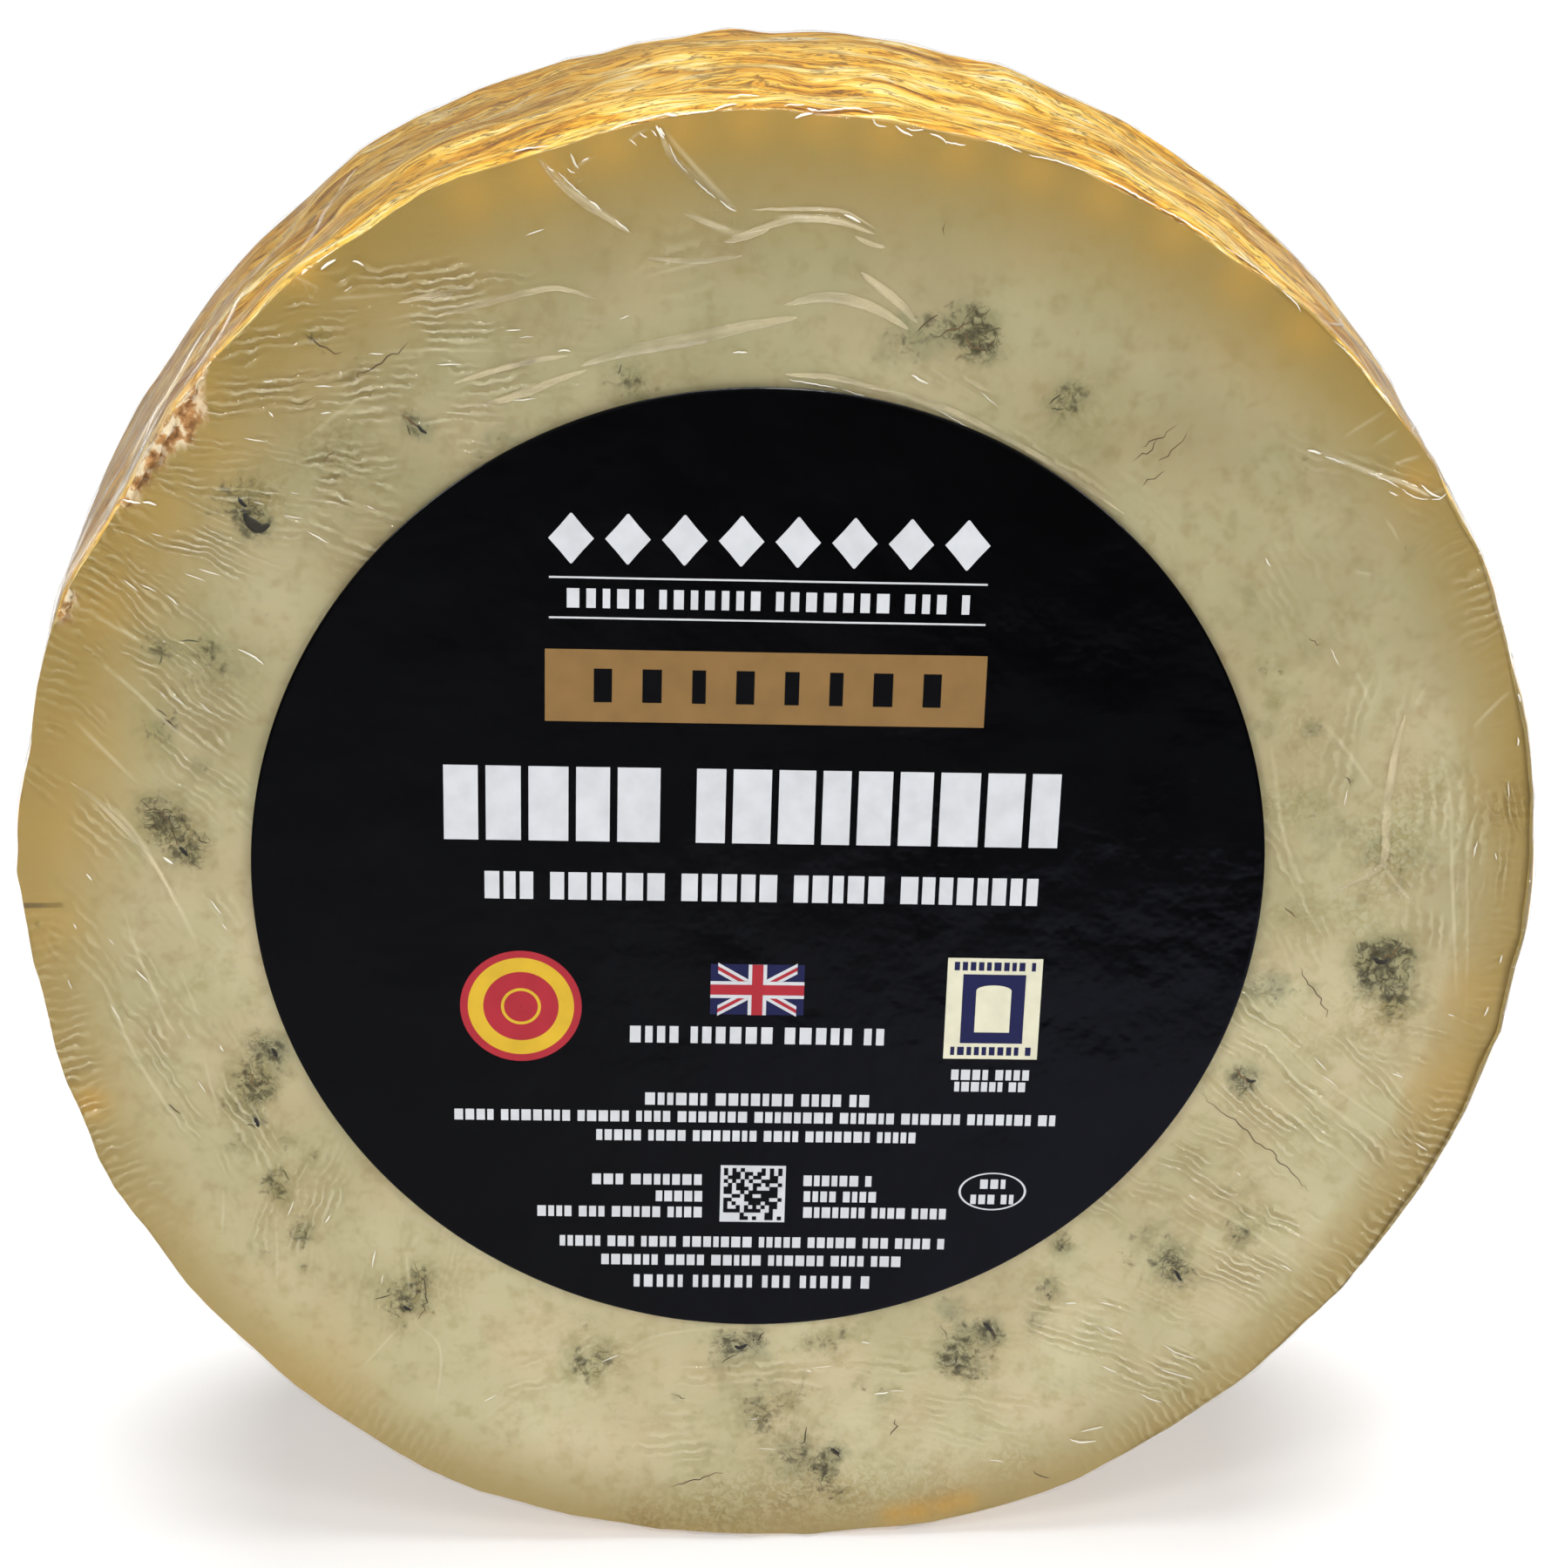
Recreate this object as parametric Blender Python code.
"""A quarter of a drum of blue cheese: one end of it, sliced off across its axis and sealed in clear film.

It stands on its rim, with the cut face to the front (-Y) and a round label stuck on that face.
The film is drawn tight, so the cheese and its film are one solid. The row frame is in metres, +Z up,
with the origin on the surface that the cheese stands on, under the middle of the whole.
"""

import math

import bmesh
import bpy
from mathutils import Vector, noise

MM = 0.001

# Driving dimensions of the drum, in millimetres
THICKNESS = 61.5  # from the cut face to the rind of the end
RIM_RADIUS = 98.3  # of the drum at the cut face
FOOT_RADIUS = 102.7  # at its other end, which spread while the cheese matured on it
CUT_ROUND = 0.6  # the edge that the wire left
END_ROUND = 7.5  # the corner of the foot
REST_DISTANCE = 98.5  # from the axis down to the flat spot that the cheese's weight presses

# Driving dimensions of the label, in millimetres
LABEL_RADIUS = 65.0
LABEL_THICKNESS = 0.5
LABEL_GAP = 0.3  # between the label and the film under it
LABEL_OFFSET = (-2.8, 1.9)  # of its centre from the drum's axis, across and up

# Unevenness of the drum: direction in degrees from +X towards +Z, spread in degrees, height in millimetres
RIM_LUMPS = (
    (20.0, 8.0, -0.7),
    (68.0, 9.0, 0.6),
    (95.0, 15.0, 1.8),
    (118.0, 7.0, 1.4),
    (146.0, 7.0, -1.5),
    (168.0, 8.0, -0.9),
    (187.0, 9.0, -1.0),
    (242.0, 11.0, 1.3),
    (289.0, 9.0, 1.1),
    (321.0, 8.0, -0.7),
)
LUMP_SHARE_AT_END = 0.35  # how much of a lump is left at the end of the drum
CRUST_RELIEF = 0.55  # how far the rind's swells stand in or out
CRUST_GRAIN = 9.0  # how far apart they are
CUT_RELIEF = 0.3  # how uneven the cut face is outside the label
CUT_GRAIN = 14.0
FLAT_MARGIN = 3.0  # the cut face stays flat this far past the label

# Mesh density
ROUND_STEPS = 144  # points round the drum
FACE_RINGS = (34.0, 71.0, 79.0, 86.0, 91.5)
SIDE_STEPS = 14
CUT_ROUND_STEPS = 3
END_ROUND_STEPS = 4
END_RINGS = (84.0, 70.0, 36.0)
LABEL_STEPS = 96


def side_radius(depth):
    """The drum's even radius at a depth behind the cut face: it widens evenly to the foot."""
    return RIM_RADIUS + (FOOT_RADIUS - RIM_RADIUS) * depth / (THICKNESS - END_ROUND)


def corner(radius, depth, size, steps, start):
    """Points (radius, depth) of a rounded corner whose centre is given, over a quarter turn from start."""
    turns = [start + math.pi / 2 * i / steps for i in range(steps + 1)]
    return [(radius + size * math.sin(t), depth - size * math.cos(t)) for t in turns]


def meridian():
    """Points (radius, depth) from the middle of the cut face, over the rim and the side, to the middle of the end."""
    cut_middle = side_radius(CUT_ROUND) - CUT_ROUND
    last_depth = THICKNESS - END_ROUND
    end_middle = side_radius(last_depth) - END_ROUND
    run = last_depth - CUT_ROUND
    depths = [CUT_ROUND + run * i / SIDE_STEPS for i in range(1, SIDE_STEPS)]
    points = [(0.0, 0.0)] + [(r, 0.0) for r in FACE_RINGS]
    points += corner(cut_middle, CUT_ROUND, CUT_ROUND, CUT_ROUND_STEPS, 0.0)
    points += [(side_radius(d), d) for d in depths]
    points += corner(end_middle, last_depth, END_ROUND, END_ROUND_STEPS, math.pi / 2)
    return points + [(r, THICKNESS) for r in END_RINGS] + [(0.0, THICKNESS)]


def lump(angle, depth):
    """How far the rim's lumps and hollows move the side out, in millimetres."""
    height = 0.0
    for direction, spread, rise in RIM_LUMPS:
        off = (angle - direction + 180.0) % 360.0 - 180.0
        height += rise * math.exp(-((off / spread) ** 2))
    left = 1.0 - (1.0 - LUMP_SHARE_AT_END) * depth / THICKNESS
    return height * left


def shaped(point):
    """The place of a point of the even drum on the real, uneven one, all in millimetres from the axis."""
    across, depth, up = point
    radius = math.hypot(across, up)
    if radius < FACE_RINGS[0] / 2:
        return point
    angle = math.degrees(math.atan2(up, across)) % 360.0
    rimward = min(max((radius - FACE_RINGS[1]) / (RIM_RADIUS - FACE_RINGS[1]), 0.0), 1.0)
    on_side = 1.0 if CUT_ROUND < depth < THICKNESS - END_ROUND / 2 else 0.4
    swell = noise.noise(Vector(point) / CRUST_GRAIN) * CRUST_RELIEF * 2.0
    grown = radius + rimward * (lump(angle, depth) + on_side * swell)
    if depth < CUT_ROUND and radius > LABEL_RADIUS + FLAT_MARGIN:
        rough = noise.noise(Vector(point) / CUT_GRAIN) * CUT_RELIEF * 2.0
        depth += rimward * (rough + CUT_RELIEF) * (1.0 - depth / CUT_ROUND)
    scale = grown / radius
    return Vector((across * scale, depth, max(up * scale, -REST_DISTANCE)))


def wrapped_cheese():
    """The drum, turned from its meridian about the Y axis and then made uneven."""
    mesh = bpy.data.meshes.new("wrapped_cheese")
    bm = bmesh.new()
    points = [bm.verts.new((radius, depth, 0.0)) for radius, depth in meridian()]
    edges = [bm.edges.new(pair) for pair in zip(points, points[1:])]
    bmesh.ops.spin(
        bm,
        geom=points + edges,
        cent=(0.0, 0.0, 0.0),
        axis=(0.0, 1.0, 0.0),
        angle=2.0 * math.pi,
        steps=ROUND_STEPS,
        use_merge=True,
    )
    bmesh.ops.remove_doubles(bm, verts=bm.verts, dist=0.01)
    for vert in bm.verts:
        vert.co = Vector(shaped(vert.co)) * MM
    bmesh.ops.triangulate(bm, faces=bm.faces)
    bmesh.ops.recalc_face_normals(bm, faces=bm.faces)
    bm.to_mesh(mesh)
    bm.free()
    mesh.shade_smooth()
    mesh.set_sharp_from_angle(angle=math.radians(50.0))
    return bpy.data.objects.new("wrapped_cheese", mesh)


def label():
    """The round sticker, a thin disc that faces the front."""
    mesh = bpy.data.meshes.new("label")
    bm = bmesh.new()
    bmesh.ops.create_cone(
        bm,
        cap_ends=True,
        segments=LABEL_STEPS,
        radius1=LABEL_RADIUS * MM,
        radius2=LABEL_RADIUS * MM,
        depth=LABEL_THICKNESS * MM,
    )
    bm.to_mesh(mesh)
    bm.free()
    disc = bpy.data.objects.new("label", mesh)
    disc.rotation_euler = (math.pi / 2, 0.0, 0.0)
    across, up = LABEL_OFFSET
    disc.location = Vector((across, -LABEL_GAP - LABEL_THICKNESS / 2, up)) * MM
    return disc


def finish(obj, colour, roughness, metallic=0.0):
    """Links the object and gives it one Principled material."""
    material = bpy.data.materials.new(obj.name)
    material.use_nodes = True
    shader = material.node_tree.nodes["Principled BSDF"]
    shader.inputs["Base Color"].default_value = (*colour, 1.0)
    shader.inputs["Roughness"].default_value = roughness
    shader.inputs["Metallic"].default_value = metallic
    obj.data.materials.append(material)
    bpy.context.scene.collection.objects.link(obj)


def stand(pieces):
    """Hangs the pieces on one empty and moves it, so that the whole stands at the origin, centred over it."""
    bpy.context.view_layer.update()
    corners = [p.matrix_world @ Vector(c) for p in pieces for c in p.bound_box]
    low = Vector(map(min, *corners))
    high = Vector(map(max, *corners))
    axis = bpy.data.objects.new("drum_axis", None)
    bpy.context.scene.collection.objects.link(axis)
    for piece in pieces:
        piece.parent = axis
    axis.location = (-(low.x + high.x) / 2, -(low.y + high.y) / 2, -low.z)


def main():
    for old in list(bpy.data.objects):
        bpy.data.objects.remove(old)
    cheese = wrapped_cheese()
    sticker = label()
    finish(cheese, colour=(0.72, 0.60, 0.33), roughness=0.35)
    finish(sticker, colour=(0.010, 0.010, 0.013), roughness=0.25)
    stand([cheese, sticker])


main()
